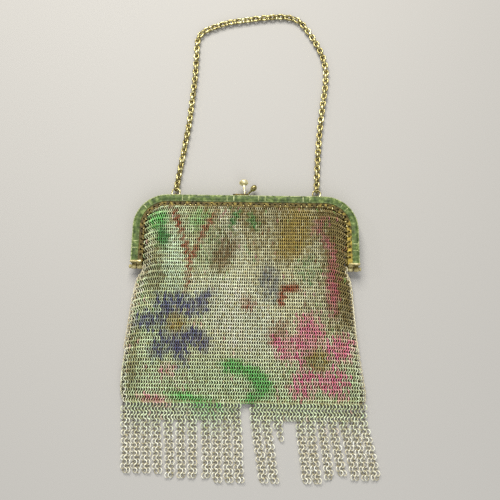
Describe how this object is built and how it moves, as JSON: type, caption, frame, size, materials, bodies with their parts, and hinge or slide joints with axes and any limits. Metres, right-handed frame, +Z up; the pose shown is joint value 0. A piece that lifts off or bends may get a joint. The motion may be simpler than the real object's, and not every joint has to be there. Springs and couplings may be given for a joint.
{
  "type": "mesh purse",
  "caption": "Ring-mesh purse with a green enamelled hinged frame, ball clasp, chain handle and strip fringe, lying closed on its back.",
  "frame": {"origin": "middle of the foot of the purse's box, on the surface that it lies on", "axes": "+X across the purse, +Y from the fringe towards the chain, +Z up from the surface, through the front mesh"},
  "size_m": [0.1096, 0.2218, 0.0079],
  "materials": {
    "green_enamel": "worn sage green enamel on stamped brass",
    "gilt_metal": "aged gilt, polished where handled",
    "printed_ring_mesh": "fine silvery ring mesh tinted with a floral print",
    "plain_ring_mesh": "fine ring mesh, tarnished ivory silver"
  },
  "bodies": {
    "root": {"frame_front": "green_enamel", "frame_back": "green_enamel", "hinge_pin_left": "gilt_metal", "hinge_pin_right": "gilt_metal", "clasp_ball_front": "gilt_metal", "clasp_ball_back": "gilt_metal", "chain_ring_left": "gilt_metal", "chain_ring_right": "gilt_metal", "chain": "gilt_metal", "mesh_bag": "printed_ring_mesh", "fringe_left": "plain_ring_mesh", "fringe_right": "plain_ring_mesh"}
  },
  "joints": []
}
